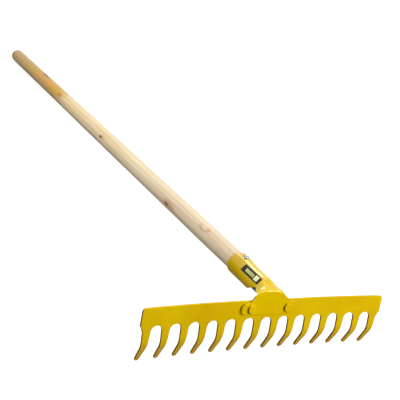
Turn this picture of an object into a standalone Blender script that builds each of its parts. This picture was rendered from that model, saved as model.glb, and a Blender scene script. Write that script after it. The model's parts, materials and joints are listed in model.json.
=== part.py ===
"""Garden rake: a toothed steel blade, a pressed sheet socket riveted to it, and a wooden handle.

Every piece is modelled in the head frame: X runs along the blade, Y from the blade's front face
towards the handle, Z up the blade, with the origin at the middle of the front face's top edge.
An empty then tips the whole rake until it lies on its tooth tips and on the end of its handle.
All lengths are in metres.
"""

import math

import bmesh
import bpy
from mathutils import Matrix, Vector

# Clearance between any two pieces that touch
GAP = 0.0003

# Blade
TOOTH_COUNT = 14
TOOTH_PITCH = 0.028
BLADE_THICKNESS = 0.003
BAR_HEIGHT = 0.0255
BAR_OVERHANG = 0.0102
BAR_CORNER_RADIUS = 0.006
SLOT_TOP_RADIUS = 0.0082
TOOTH_ROOT_WIDTH = 0.0116
TOOTH_TIP_WIDTH = 0.0062
TOOTH_STRAIGHT = 0.0198
TOOTH_BEND_RADIUS = 0.028
TOOTH_BEND_ANGLE = math.radians(30)
TOOTH_END = 0.0241
BLADE_SWEEP = 0.005

# Socket: foot on the blade, bend, neck and tube
SHEET = 0.0022
FOOT_WIDTH = 0.091
FOOT_TOP_DROP = 0.0025
FOOT_HEIGHT = 0.0175
FLARE_FOOT_WIDTH = 0.066
FLARE_NECK_WIDTH = 0.0428
FLARE_LEAN = 0.003
BEND_RADIUS = 0.005
NECK_CROWN = 0.0101
NECK_EDGE = 0.0045
NECK_LEAST_ANGLE = math.radians(80)
VALLEY_DEPTH = 0.0035
TUBE_MOUTH = 0.096
TUBE_END = 0.051
NECK_START = 0.022
SEAM_GAP = 0.003
UNDERCUT_END = 0.0254
UNDERCUT_ANGLE = math.radians(95)
CRIMP_LENGTH = 0.019
CRIMP_WIDTH = 0.013
CRIMP_DEPTH = 0.0012

# Handle
HANDLE_DIAMETER = 0.0286
HANDLE_START = 0.026
HANDLE_LENGTH = 1.197
HANDLE_PITCH = math.radians(4.5)
HANDLE_AXIS_HEIGHT = 0.007
HANDLE_TAPER = 0.0019
TAPER_START = 0.078
TAPER_END = 0.056
HANDLE_CHAMFER = 0.0015
HANDLE_END_RADIUS = 0.0095
# Past the tube the shaft is turned a little thicker, and it thins towards its far end.
HANDLE_SWELL = 0.0006
SWELL_START = 0.17
SWELL_END = 0.62
HANDLE_THINNING = 0.0003

# Fasteners
RIVET_SPACING = 0.058
RIVET_HEAD_DIAMETER = 0.0135
RIVET_HEAD_HEIGHT = 0.0022
RIVET_SHANK_DIAMETER = 0.007
SCREW_STATION = 0.0776
SCREW_HEAD_DIAMETER = 0.0075
SCREW_HEAD_HEIGHT = 0.0024
SCREW_SHANK_DIAMETER = 0.004
SCREW_LENGTH = 0.022
SCREW_SLOT_WIDTH = 0.0012
SCREW_SLOT_DEPTH = 0.001

# Label on the tube
LABEL_THICKNESS = 0.0003
LABEL_START = 0.0195
LABEL_END = 0.063
LABEL_LOW_ANGLE = math.radians(26)
LABEL_HIGH_ANGLE = math.radians(67)

# Facets
TUBE_COLUMNS = 32
HANDLE_SIDES = 48
RIVET_SIDES = 24

FOOT_MIDDLE = -FOOT_TOP_DROP - FOOT_HEIGHT / 2
FOOT_FRONT = -GAP - SHEET
HANDLE_RADIUS = HANDLE_DIAMETER / 2
BLADE_FLAT = FOOT_WIDTH / 2
LAST_TOOTH = (TOOTH_COUNT - 1) / 2 * TOOTH_PITCH
ALONG = Vector((0, math.cos(HANDLE_PITCH), math.sin(HANDLE_PITCH)))
ABOVE = Vector((0, -math.sin(HANDLE_PITCH), math.cos(HANDLE_PITCH)))
AXIS_ORIGIN = Vector((0, 0, HANDLE_AXIS_HEIGHT))


def clear_scene():
    """Remove whatever the startup file left in the scene."""
    for obj in list(bpy.data.objects):
        bpy.data.objects.remove(obj)


def steps(first, last, count):
    """Evenly spaced values, both ends included."""
    return [first + (last - first) * i / (count - 1) for i in range(count)]


def ease(value):
    """Smooth step from 0 to 1."""
    value = min(max(value, 0.0), 1.0)
    return value * value * (3 - 2 * value)


def material(name, colour, roughness, metallic=0.0):
    """Principled material with one colour."""
    made = bpy.data.materials.new(name)
    made.use_nodes = True
    shader = made.node_tree.nodes["Principled BSDF"]
    shader.inputs["Base Color"].default_value = (*colour, 1.0)
    shader.inputs["Roughness"].default_value = roughness
    shader.inputs["Metallic"].default_value = metallic
    return made


def add_object(name, bm, surface, parent=None):
    """Turn a bmesh into a smooth-shaded object with one material."""
    mesh = bpy.data.meshes.new(name)
    bm.to_mesh(mesh)
    bm.free()
    mesh.shade_smooth()
    mesh.set_sharp_from_angle(angle=math.radians(35))
    obj = bpy.data.objects.new(name, mesh)
    obj.parent = parent
    bpy.context.scene.collection.objects.link(obj)
    if surface:
        mesh.materials.append(surface)
    return obj


def add_cutter(name, bm, parent):
    """Make an object that only cuts others and never shows."""
    cutter = add_object(name, bm, None, parent)
    cutter.hide_render = True
    cutter.display_type = "WIRE"
    return cutter


def cut(obj, cutter):
    """Subtract a cutter from an object."""
    boolean = obj.modifiers.new(cutter.name, "BOOLEAN")
    boolean.operation = "DIFFERENCE"
    boolean.object = cutter


def solidify(obj, thickness, side):
    """Give an open surface its thickness, to one side (-1 inward, 0 both ways, 1 outward)."""
    shell = obj.modifiers.new("Thickness", "SOLIDIFY")
    shell.thickness = thickness
    shell.offset = side
    shell.use_even_offset = True


def grid(bm, rows):
    """Join rows of points, all of one length, with quads."""
    made = [[bm.verts.new(point) for point in row] for row in rows]
    for upper, lower in zip(made, made[1:]):
        for i in range(len(upper) - 1):
            bm.faces.new((upper[i], upper[i + 1], lower[i + 1], lower[i]))
    return made


def turned(profile, sides):
    """Spin (radius, height) points about Z into a closed body; the profile ends on the axis."""
    bm = bmesh.new()
    rings = []
    for radius, height in profile:
        if radius < 1e-6:
            rings.append([bm.verts.new((0, 0, height))])
            continue
        angles = [2 * math.pi * i / sides for i in range(sides)]
        rings.append(
            [bm.verts.new((radius * math.cos(a), radius * math.sin(a), height)) for a in angles]
        )
    for lower, upper in zip(rings, rings[1:]):
        for i in range(sides):
            j = (i + 1) % sides
            corners = [lower[i % len(lower)], lower[j % len(lower)]]
            corners += [upper[j % len(upper)], upper[i % len(upper)]]
            bm.faces.new(list(dict.fromkeys(corners)))
    bmesh.ops.recalc_face_normals(bm, faces=bm.faces)
    return bm


def dome(radius, height, base, segments):
    """Points of a low dome, from its rim to its crown on the axis."""
    return [
        (radius * math.cos(a), base + height * math.sin(a)) for a in steps(0, math.pi / 2, segments)
    ]


def axis_point(station):
    """Point on the handle's axis, measured from the plane of the blade's front face."""
    return AXIS_ORIGIN + ALONG * station


def axis_frame(station, height):
    """Matrix with Z square to the handle's axis, pointing up, above the given station."""
    place = Matrix.Translation(axis_point(station) + ABOVE * height)
    return place @ Matrix.Rotation(HANDLE_PITCH, 4, "X")


# Blade


def tooth_line(depth):
    """(y, z) and slope of the blade's middle surface at a depth measured down the metal."""
    straight = BAR_HEIGHT + TOOTH_STRAIGHT
    arc = TOOTH_BEND_RADIUS * TOOTH_BEND_ANGLE
    angle = min(max(depth - straight, 0) / TOOTH_BEND_RADIUS, TOOTH_BEND_ANGLE)
    y = TOOTH_BEND_RADIUS * (1 - math.cos(angle))
    z = -min(depth, straight) - TOOTH_BEND_RADIUS * math.sin(angle)
    beyond = max(depth - straight - arc, 0)
    return y + beyond * math.sin(angle), z - beyond * math.cos(angle), angle


def sweep(x):
    """How far the blade's ends are swept forward of its flat middle."""
    reach = LAST_TOOTH - BLADE_FLAT
    return BLADE_SWEEP * (max(abs(x) - BLADE_FLAT, 0) / reach) ** 2


def blade_point(x, depth):
    """Point of the blade's middle surface."""
    y, z, _ = tooth_line(depth)
    return Vector((x, BLADE_THICKNESS / 2 + y - sweep(x), z))


def tooth_length():
    """Length of a tooth along the metal, from the top of a slot to its tip."""
    return TOOTH_STRAIGHT + TOOTH_BEND_RADIUS * TOOTH_BEND_ANGLE + TOOTH_END


def blade_rows():
    """Depth, half width of a tooth's strip and half width at the blade's ends, row by row."""
    half_pitch = TOOTH_PITCH / 2
    outer = BAR_OVERHANG
    rows = []
    for a in steps(0, math.pi / 2, 4):
        inset = BAR_CORNER_RADIUS * (1 - math.sin(a))
        rows.append((BAR_CORNER_RADIUS * (1 - math.cos(a)), half_pitch, outer - inset))
    rows.append((-FOOT_MIDDLE, half_pitch, outer))
    root = TOOTH_ROOT_WIDTH / 2
    for a in steps(0, math.pi / 2, 7):
        depth = BAR_HEIGHT + SLOT_TOP_RADIUS * (1 - math.cos(a))
        side = half_pitch - (half_pitch - root) * math.sin(a)
        rows.append((depth, side, outer - (outer - root) * ease(1 - math.cos(a))))
    spring = BAR_HEIGHT + SLOT_TOP_RADIUS
    tip = TOOTH_TIP_WIDTH / 2
    end = BAR_HEIGHT + tooth_length()
    arc_start = BAR_HEIGHT + TOOTH_STRAIGHT
    arc_end = arc_start + TOOTH_BEND_RADIUS * TOOTH_BEND_ANGLE
    depths = [(spring + arc_start) / 2, *steps(arc_start, arc_end, 5), (arc_end + end - tip) / 2]
    for depth in [*depths, end - tip]:
        share = (depth - spring) / (end - tip - spring)
        width = root + (tip - root) * share
        rows.append((depth, width, width))
    for a in steps(math.radians(25), math.radians(75), 3):
        rows.append((end - tip + tip * math.sin(a), tip * math.cos(a), tip * math.cos(a)))
    rows.append((end, tip / 8, tip / 8))
    return rows


def make_blade(surface, parent):
    """Bar and teeth in one sheet, laid out as one strip of quads for each tooth."""
    bm = bmesh.new()
    for index in range(TOOTH_COUNT):
        middle = (index - (TOOTH_COUNT - 1) / 2) * TOOTH_PITCH
        strip = []
        for depth, side, outer in blade_rows():
            left = outer if index == 0 else side
            right = outer if index == TOOTH_COUNT - 1 else side
            strip.append([blade_point(middle + x, depth) for x in (-left, 0, right)])
        grid(bm, strip)
    bmesh.ops.remove_doubles(bm, verts=bm.verts, dist=1e-6)
    bmesh.ops.recalc_face_normals(bm, faces=bm.faces)
    blade = add_object("blade", bm, surface, parent)
    solidify(blade, BLADE_THICKNESS, 0)
    return blade


# Socket


TUBE_RADIUS = HANDLE_RADIUS + GAP + SHEET


def taper(station):
    """How much thinner the handle is at a station inside the tube."""
    return HANDLE_TAPER * min(max((TAPER_START - station) / (TAPER_START - TAPER_END), 0), 1)


def arc_half_angle(station):
    """Half angle that the rolled sheet covers, from the top round to its edge."""
    seam = math.pi - SEAM_GAP / 2 / TUBE_RADIUS
    share = max(TUBE_END - station, 0) / (TUBE_END - UNDERCUT_END)
    edge = min(share * (1 + math.cos(UNDERCUT_ANGLE)) - 1, 1)
    return max(min(seam, math.acos(edge)), NECK_LEAST_ANGLE)


def undercut_station(angle):
    """Station at which the slanting edge below the tube has come round to this half angle."""
    share = (1 + math.cos(angle)) / (1 + math.cos(UNDERCUT_ANGLE))
    return TUBE_END - (TUBE_END - UNDERCUT_END) * share


def valley(x, station):
    """Depth of the valley pressed into the middle of the neck."""
    reach = 1 - station / (NECK_START + HANDLE_CHAMFER)
    if reach <= 0:
        return 0.0
    half_width = FLARE_NECK_WIDTH / 2 * (0.25 + 0.6 * reach)
    across = max(1 - (x / half_width) ** 2, 0)
    return VALLEY_DEPTH * math.sin(math.pi * min(reach, 1)) ** 0.7 * across**2


def neck_section(u, station):
    """(x, height above the axis) on the sheet's outer side at u from -1 to 1 across it."""
    angle = u * arc_half_angle(station)
    pressed = taper(station) * ease((math.radians(110) - abs(angle)) / math.radians(60))
    round_x = (TUBE_RADIUS - pressed) * math.sin(angle)
    round_v = (TUBE_RADIUS - pressed) * math.cos(angle)
    flat_x = u * FLARE_NECK_WIDTH / 2
    flat_v = NECK_EDGE + (NECK_CROWN - NECK_EDGE) * (1 - u * u)
    blend = ease((NECK_START - station) / (NECK_START - BEND_RADIUS / 2))
    x = round_x + (flat_x - round_x) * blend
    v = round_v + (flat_v - round_v) * blend
    return x - FLARE_LEAN * blend, v - valley(x, station)


def neck_point(u, station, lift=0.0):
    """Point on the tube or the neck, lifted off its outer side if asked."""
    x, v = neck_section(u, station)
    if lift:
        step = 1e-4
        x_next, v_next = neck_section(u + step, station)
        out = Vector((v - v_next, x_next - x)).normalized() * lift
        x, v = x + out.x, v + out.y
    return axis_point(station) + ABOVE * v + Vector((x, 0, 0))


def foot_half_width(z):
    """Half width of the flared plate between the bend and the foot."""
    slope = (FLARE_FOOT_WIDTH - FLARE_NECK_WIDTH) / 2
    top = HANDLE_AXIS_HEIGHT + NECK_EDGE
    share = (top - z) / (top + FOOT_TOP_DROP)
    return FLARE_NECK_WIDTH / 2 + slope * share


def socket_rows():
    """Rows of points on the outer side of the sheet, from the tube's mouth to the foot."""
    columns = steps(-1, 1, TUBE_COLUMNS + 1)
    stations = [TUBE_MOUTH, TAPER_START, TAPER_END, TUBE_END]
    seam = arc_half_angle(TUBE_END)
    stations += [undercut_station(a) for a in steps(seam, UNDERCUT_ANGLE, 11)[1:]]
    bend_station = BEND_RADIUS + FOOT_FRONT
    stations += steps(NECK_START, bend_station, 9)
    rows = [[neck_point(u, station) for u in columns] for station in stations]
    last = rows[-1]
    for turn in steps(HANDLE_PITCH, math.pi / 2, 7)[1:]:
        drop = BEND_RADIUS * (math.cos(HANDLE_PITCH) - math.cos(turn))
        row = []
        for u, start in zip(columns, last):
            z = start.z - drop
            y = FOOT_FRONT + BEND_RADIUS * (1 - math.sin(turn))
            row.append(Vector((u * foot_half_width(last[0].z - drop) - FLARE_LEAN, y, z)))
        rows.append(row)
    under_bend = rows[-1]
    flare = steps(0, 1, 4)[1:]
    for share in flare:
        row = []
        for u, start in zip(columns, under_bend):
            z = start.z + (-FOOT_TOP_DROP - start.z) * share
            edge_z = under_bend[0].z + (-FOOT_TOP_DROP - under_bend[0].z) * share
            row.append(Vector((u * foot_half_width(edge_z) - FLARE_LEAN, FOOT_FRONT, z)))
        rows.append(row)
    ear = FOOT_HEIGHT / 2
    for a in steps(math.pi / 2, -math.pi / 2, 11):
        half = FOOT_WIDTH / 2 - ear + ear * math.cos(a)
        z = FOOT_MIDDLE + (ear - 0.0002) * math.sin(a)
        rows.append([Vector((u * half, FOOT_FRONT, z)) for u in columns])
    return rows


def make_socket(surface, parent):
    """One folded sheet: tube with its seam below, neck, bend and the foot on the blade."""
    bm = bmesh.new()
    grid(bm, socket_rows())
    for face in bm.faces:
        face.normal_flip()
    bm.normal_update()
    socket = add_object("socket", bm, surface, parent)
    solidify(socket, SHEET, -1)
    return socket


def crimp_cutter(parent):
    """Shallow hollow pressed into the top of the tube, open at its mouth."""
    bm = bmesh.new()
    bmesh.ops.create_uvsphere(bm, u_segments=24, v_segments=16, radius=1)
    radius = TUBE_RADIUS
    half_width = CRIMP_WIDTH / 2
    wide = radius - math.sqrt(radius**2 - half_width**2) + CRIMP_DEPTH
    scale = Matrix.Diagonal((half_width, CRIMP_LENGTH, wide, 1))
    bmesh.ops.transform(bm, matrix=scale, verts=bm.verts)
    cutter = add_cutter("crimp_cutter", bm, parent)
    cutter.matrix_local = axis_frame(TUBE_MOUTH, radius - CRIMP_DEPTH + wide)
    return cutter


# Handle


def make_handle(surface, parent):
    """Turned shaft: tapered where the tube grips it, chamfered below, rounded at its far end."""
    radius = HANDLE_RADIUS
    end = HANDLE_START + HANDLE_LENGTH
    small = radius - HANDLE_TAPER
    profile = [(0, HANDLE_START), (small - HANDLE_CHAMFER, HANDLE_START)]
    profile += [(small, HANDLE_START + HANDLE_CHAMFER), (small, TAPER_END)]
    profile += [(radius, TAPER_START), (radius, TUBE_MOUTH)]
    profile += [(radius + HANDLE_SWELL, SWELL_START), (radius + HANDLE_SWELL, SWELL_END)]
    for a in steps(0, math.pi / 2, 6):
        inset = HANDLE_END_RADIUS * (1 - math.cos(a))
        station = end - HANDLE_END_RADIUS * (1 - math.sin(a))
        profile.append((radius - HANDLE_THINNING - inset, station))
    profile.append((0, end))
    bm = turned(profile, HANDLE_SIDES)
    handle = add_object("handle", bm, surface, parent)
    handle.location = AXIS_ORIGIN
    handle.rotation_euler = (HANDLE_PITCH - math.pi / 2, 0, 0)
    return handle


# Fasteners and label


def hole_cutter(name, diameter, first, last, parent):
    """Round bar that cuts a hole, from one height to another along its own Z."""
    radius = diameter / 2 + GAP
    profile = [(0, first), (radius, first), (radius, last), (0, last)]
    return add_cutter(name, turned(profile, RIVET_SIDES), parent)


def make_rivet(name, x, surface, parent):
    """Rivet with a low domed head on each side, through the foot and the blade."""
    grip = SHEET + BLADE_THICKNESS + 3 * GAP
    head, shank = RIVET_HEAD_DIAMETER / 2, RIVET_SHANK_DIAMETER / 2
    front = dome(head, RIVET_HEAD_HEIGHT, 0, 6)
    back = [(r, -grip - h) for r, h in dome(head, RIVET_HEAD_HEIGHT, 0, 6)]
    profile = [*back[::-1], (shank, -grip), (shank, 0), *front]
    rivet = add_object(name, turned(profile, RIVET_SIDES), surface, parent)
    rivet.location = (x, FOOT_FRONT - GAP, FOOT_MIDDLE)
    rivet.rotation_euler = (math.pi / 2, 0, 0)
    return rivet


def make_screw(surface, parent):
    """Round-head screw through the top of the tube into the wood, with one slot."""
    head, shank = SCREW_HEAD_DIAMETER / 2, SCREW_SHANK_DIAMETER / 2
    tip = -SCREW_LENGTH
    profile = [(0, tip), (shank / 4, tip), (shank, tip + 2 * shank), (shank, 0)]
    profile += dome(head, SCREW_HEAD_HEIGHT, 0, 6)
    screw = add_object("fixing_screw", turned(profile, RIVET_SIDES), surface, parent)
    screw.matrix_local = axis_frame(SCREW_STATION, TUBE_RADIUS - taper(SCREW_STATION) + GAP)
    bm = bmesh.new()
    bmesh.ops.create_cube(bm, size=1)
    size = Matrix.Diagonal((2 * SCREW_HEAD_DIAMETER, SCREW_SLOT_WIDTH, 2 * SCREW_SLOT_DEPTH, 1))
    bmesh.ops.transform(bm, matrix=size, verts=bm.verts)
    slot = add_cutter("screw_slot_cutter", bm, parent)
    slot.matrix_local = screw.matrix_local @ Matrix.Translation((0, 0, SCREW_HEAD_HEIGHT))
    cut(screw, slot)
    return screw


def make_label(surface, parent):
    """Thin sticker that follows the left side of the tube."""
    bm = bmesh.new()
    rows = []
    for station in steps(LABEL_END, LABEL_START, 9):
        half = arc_half_angle(station)
        angles = steps(LABEL_LOW_ANGLE, LABEL_HIGH_ANGLE, 6)
        rows.append([neck_point(-a / half, station, GAP) for a in angles])
    grid(bm, rows)
    label = add_object("label", bm, surface, parent)
    solidify(label, LABEL_THICKNESS, 1)
    return label


# Assembly


def rest_angle():
    """Angle between the head frame and the floor, with the tooth tips and the handle's end on it."""
    y, z, angle = tooth_line(BAR_HEIGHT + tooth_length())
    half = BLADE_THICKNESS / 2
    tip = Vector((0, half + y - half * math.cos(angle), z - half * math.sin(angle)))
    ring = axis_point(HANDLE_START + HANDLE_LENGTH - HANDLE_END_RADIUS)
    ring -= ABOVE * (HANDLE_RADIUS - HANDLE_THINNING - HANDLE_END_RADIUS)
    span = ring - tip
    return math.atan2(span.z, span.y) - math.asin(HANDLE_END_RADIUS / span.length)


def stand_on_floor(rest):
    """Move the rake so that the middle of its box's underside is the origin."""
    bpy.context.view_layer.update()
    graph = bpy.context.evaluated_depsgraph_get()
    points = []
    for obj in rest.children:
        if not obj.hide_render:
            shown = obj.evaluated_get(graph)
            points += [shown.matrix_world @ v.co for v in shown.data.vertices]
    low = [min(p[i] for p in points) for i in range(3)]
    high = [max(p[i] for p in points) for i in range(3)]
    rest.location = (-(low[0] + high[0]) / 2, -(low[1] + high[1]) / 2, -low[2])


def main():
    clear_scene()
    paint = material("yellow enamel", (0.68, 0.45, 0.0), 0.35)
    wood = material("varnished wood", (0.75, 0.58, 0.36), 0.45)
    steel = material("zinc plated steel", (0.6, 0.6, 0.6), 0.3, 1.0)
    film = material("printed film", (0.03, 0.03, 0.03), 0.4)

    rest = bpy.data.objects.new("rest", None)
    bpy.context.scene.collection.objects.link(rest)
    rest.rotation_euler = (-rest_angle(), 0, 0)

    blade = make_blade(paint, rest)
    socket = make_socket(paint, rest)
    handle = make_handle(wood, rest)
    make_screw(steel, rest)
    make_label(film, rest)
    for name, side in (("rivet_left", -1), ("rivet_right", 1)):
        x = side * RIVET_SPACING / 2
        make_rivet(name, x, paint, rest)
        reach = FOOT_WIDTH / 4
        cutter = hole_cutter(name + "_cutter", RIVET_SHANK_DIAMETER, -reach, reach, rest)
        cutter.location = (x, 0, FOOT_MIDDLE)
        cutter.rotation_euler = (math.pi / 2, 0, 0)
        cut(blade, cutter)
        cut(socket, cutter)

    screw_hole = hole_cutter(
        "screw_hole_cutter", SCREW_SHANK_DIAMETER, -SCREW_LENGTH - GAP, SCREW_HEAD_DIAMETER, rest
    )
    screw_hole.matrix_local = axis_frame(SCREW_STATION, TUBE_RADIUS - taper(SCREW_STATION) + GAP)
    cut(socket, screw_hole)
    cut(handle, screw_hole)
    cut(socket, crimp_cutter(rest))
    stand_on_floor(rest)


main()
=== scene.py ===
"""Garden rake: a toothed blade, a pressed sheet socket riveted to it, and a turned wooden handle.

The head is modelled upright on the bench, in the head frame: X runs along the blade, Y from the
blade's front face towards the handle and Z up, with the origin on the front face's top edge. Each
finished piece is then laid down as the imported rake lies, on its tooth tips and its handle's end.
All lengths are in metres.
"""

import json
import math

import bmesh
import bpy
from mathutils import Matrix, Vector


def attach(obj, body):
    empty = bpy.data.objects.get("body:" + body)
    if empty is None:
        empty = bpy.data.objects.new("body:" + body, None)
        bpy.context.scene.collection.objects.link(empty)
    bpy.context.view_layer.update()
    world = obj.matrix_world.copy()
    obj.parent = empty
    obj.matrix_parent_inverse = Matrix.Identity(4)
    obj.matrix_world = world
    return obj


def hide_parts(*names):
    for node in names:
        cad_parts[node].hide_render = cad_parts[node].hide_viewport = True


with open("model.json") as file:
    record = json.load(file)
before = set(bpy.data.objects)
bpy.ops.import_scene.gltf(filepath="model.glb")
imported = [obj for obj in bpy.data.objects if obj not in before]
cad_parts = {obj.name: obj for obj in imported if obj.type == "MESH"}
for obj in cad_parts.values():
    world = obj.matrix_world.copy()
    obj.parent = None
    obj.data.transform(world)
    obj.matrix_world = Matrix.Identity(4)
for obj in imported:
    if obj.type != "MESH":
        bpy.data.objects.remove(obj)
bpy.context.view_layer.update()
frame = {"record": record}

# Blade
TOOTH_COUNT = 14
TOOTH_PITCH = 0.028
BLADE_THICKNESS = 0.003
BAR_HEIGHT = 0.0255
BAR_OVERHANG = 0.0102
BAR_CORNER_RADIUS = 0.0055
SLOT_TOP_RADIUS = 0.0082
SLOT_TOP_ROWS = 9
ROW_ABOVE_SLOTS = 0.002
TOOTH_ROOT_WIDTH = 0.0116
TOOTH_TIP_WIDTH = 0.0062
TOOTH_STRAIGHT = 0.0198
TOOTH_BEND_RADIUS = 0.028
TOOTH_BEND_ANGLE = math.radians(30)
TOOTH_BEND_ROWS = 7
TOOTH_END = 0.0241
TOOTH_TIP_ROUNDING = 0.49
BLADE_SWEEP = 0.005
SWEEP_COLUMNS = 57
BLADE_EDGE = 0.0007
# The last punch leaves a small step in the bar's end, beside the last tooth: half width there, by
# row of the slot's top
END_STEP = {0: BAR_OVERHANG, 3: 0.0084, 6: 0.0071, 8: TOOTH_ROOT_WIDTH / 2}

# Socket
SHEET = 0.0022
FOOT_WIDTH = 0.091
FOOT_TOP_DROP = 0.0025
FOOT_HEIGHT = 0.0175
FLARE_FOOT_WIDTH = 0.0675
FLARE_NECK_WIDTH = 0.0428
FLARE_LEAN = 0.003
FLARE_CURVE = 1.3
# The outline steps out from the flare to the ears over this height.
SHOULDER_HEIGHT = 0.0009
BEND_RADIUS = 0.005
NECK_CROWN = 0.0101
NECK_EDGE = 0.0045
NECK_LEAST_ANGLE = math.radians(80)
# A valley runs up the neck from the bend. It narrows and drifts to the left on its way.
VALLEY_DEPTH = 0.0024
VALLEY_MIDDLE = -0.0012
VALLEY_DRIFT = 0.0036
VALLEY_TOP_HALF_WIDTH = 0.0035
VALLEY_WIDENING = 0.0085
VALLEY_FULLNESS = 0.7
# A round dimple lies beside the valley; its place is across the neck and along it.
DIMPLE_DEPTH = 0.0013
DIMPLE_RADIUS = 0.0056
DIMPLE_PLACE = (-0.0147, 0.0108)
TUBE_MOUTH = 0.096
TUBE_END = 0.051
NECK_START = 0.022
# The tube is squeezed on the tapered wood at its top; round its sides the squeeze fades out.
SQUEEZE_END = math.radians(110)
SQUEEZE_FADE = math.radians(60)
SEAM_GAP = 0.003
UNDERCUT_END = 0.0254
UNDERCUT_ANGLE = math.radians(95)
DENT_LENGTH = 0.0185
DENT_HALF_WIDTH = 0.0068
DENT_DEPTH = 0.0017
DENT_RIM = 0.27
SHEET_EDGE = 0.0005
# Below this height the sideways faces of the foot and the flare get painted shade, as the blade's do.
SIDE_SHADE_TOP = 0.008
SHEET_COLUMNS = 72
# Columns stand closer together along the top than at the rims: 1 would space them evenly.
COLUMN_EVENNESS = 0.55
TUBE_ROWS = 41
UNDERCUT_ROWS = 21
NECK_ROWS = 24
NECK_ROWS_LEAD = 0.0012
BEND_ROWS = 9
FLARE_ROWS = 6
EAR_ROWS = 15
EAR_ROW_ANGLE = math.radians(88)

# Handle
HANDLE_DIAMETER = 0.0286
HANDLE_START = 0.026
HANDLE_LENGTH = 1.197
HANDLE_PITCH = math.radians(4.5)
HANDLE_AXIS_HEIGHT = 0.007
HANDLE_TAPER = 0.0019
TAPER_START = 0.078
TAPER_END = 0.056
HANDLE_CHAMFER = 0.0015
HANDLE_END_RADIUS = 0.0095
# Past the tube the shaft is turned a little thicker, and it thins towards its far end.
HANDLE_SWELL = 0.0006
SWELL_START = 0.17
SWELL_END = 0.62
HANDLE_THINNING = 0.0003
HANDLE_SIDES = 72
SHAFT_ROWS = 23

# Fasteners and label
GAP = 0.0003
RIVET_SPACING = 0.058
RIVET_HEAD_RADIUS = 0.00675
RIVET_HEAD_HEIGHT = 0.0022
RIVET_HEAD_RIM = 0.0018
RIVET_SHANK_RADIUS = 0.0035
SCREW_STATION = 0.0776
SCREW_HEAD_RADIUS = 0.00375
SCREW_HEAD_HEIGHT = 0.0024
SCREW_HEAD_RIM = 0.0014
SCREW_SHANK_RADIUS = 0.002
SCREW_LENGTH = 0.022
SCREW_SLOT_WIDTH = 0.0012
SCREW_SLOT_DEPTH = 0.001
SCREW_EDGE = 0.00012
# Length of the screw's pointed part, and how much of the shank's width its tip keeps
SCREW_POINT_LENGTH = 0.004
SCREW_POINT_SHARE = 0.25
LABEL_THICKNESS = 0.0003
LABEL_START = 0.0195
LABEL_END = 0.063
LABEL_LOW_ANGLE = math.radians(26)
LABEL_HIGH_ANGLE = math.radians(67)

HANDLE_RADIUS = HANDLE_DIAMETER / 2
TUBE_RADIUS = HANDLE_RADIUS + GAP + SHEET
FOOT_FRONT = -GAP - SHEET
FOOT_MIDDLE = -FOOT_TOP_DROP - FOOT_HEIGHT / 2
LAST_TOOTH = (TOOTH_COUNT - 1) / 2 * TOOTH_PITCH
ALONG = Vector((0, math.cos(HANDLE_PITCH), math.sin(HANDLE_PITCH)))
ABOVE = Vector((0, -math.sin(HANDLE_PITCH), math.cos(HANDLE_PITCH)))
AXIS_ORIGIN = Vector((0, 0, HANDLE_AXIS_HEIGHT))

# Painted shade and the coat's thickness go by where the surface faces: how far sideways it has turned
# where the painted shade begins, how far up where the coat begins to thicken, and over what further turn
# each comes in
SIDE_SHADE_TURN = 0.35
THICK_COAT_TURN = 0.25
SHADE_AND_COAT_FADE = 0.5

# How far off a point may lie and still be picked, and how close two points are welded
NEAR = 1e-5
WELD = 1e-6

# Light and background: the floor's size, its brightness as seen beside the rake, and how bright the
# white surroundings are as a lamp
FLOOR_SIZE = 60
FLOOR_GLOW = 0.84
WORLD_LIGHT = 0.06

# Camera: the photograph's viewing angle, in the head frame
CAMERA_PLACE = (-0.65765, -0.86632, 0.4304)
CAMERA_RIGHT = Vector((0.86882, -0.46453, 0.17137))
CAMERA_UP = Vector((-0.01289, 0.32478, 0.9457))
CAMERA_LENS = 77.655
CAMERA_SENSOR = 36.0

# The label's windows, as shares of its width and its length
PANEL_ACROSS, PANEL_ALONG = (0.24, 0.72), (0.17, 0.66)
SQUARE_ACROSS, SQUARE_ALONG = (0.16, 0.84), (0.70, 0.90)


def head_placement():
    """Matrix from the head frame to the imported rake, from the mount on the bar's top edge."""
    mount = frame["record"]["mounts"][0]
    tip = math.atan2(mount["axis"][1], mount["axis"][2])
    turn = Matrix.Rotation(-tip, 4, "X")
    offset = turn @ Vector((mount["pos_m"][0], BLADE_THICKNESS / 2, 0))
    return Matrix.Translation(Vector(mount["pos_m"]) - offset) @ turn


HEAD = head_placement()


# Small helpers


def steps(first, last, count):
    """Evenly spaced values, both ends included."""
    return [first + (last - first) * i / (count - 1) for i in range(count)]


def ease(value):
    """Smooth step from 0 to 1."""
    value = min(max(value, 0.0), 1.0)
    return value * value * (3 - 2 * value)


def clear_selection():
    """Leave edit mode and select nothing."""
    if bpy.context.mode != "OBJECT":
        bpy.ops.object.mode_set(mode="OBJECT")
    bpy.ops.object.select_all(action="DESELECT")


def work_on(piece):
    """Select one piece alone and make it active."""
    clear_selection()
    piece.select_set(True)
    bpy.context.view_layer.objects.active = piece


def open_edit(name, kind="EDGE"):
    """Name the primitive just added, apply its place and open it for editing, with nothing selected."""
    piece = bpy.context.object
    piece.name = name
    bpy.ops.object.transform_apply(location=True, rotation=True, scale=True)
    bpy.ops.object.mode_set(mode="EDIT")
    bpy.ops.mesh.select_mode(type=kind)
    bpy.ops.mesh.select_all(action="DESELECT")
    return piece


def middle_of(part):
    """Middle of a vertex, an edge or a face."""
    points = [part.co] if isinstance(part, bmesh.types.BMVert) else [v.co for v in part.verts]
    return sum(points, Vector()) / len(points)


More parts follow.
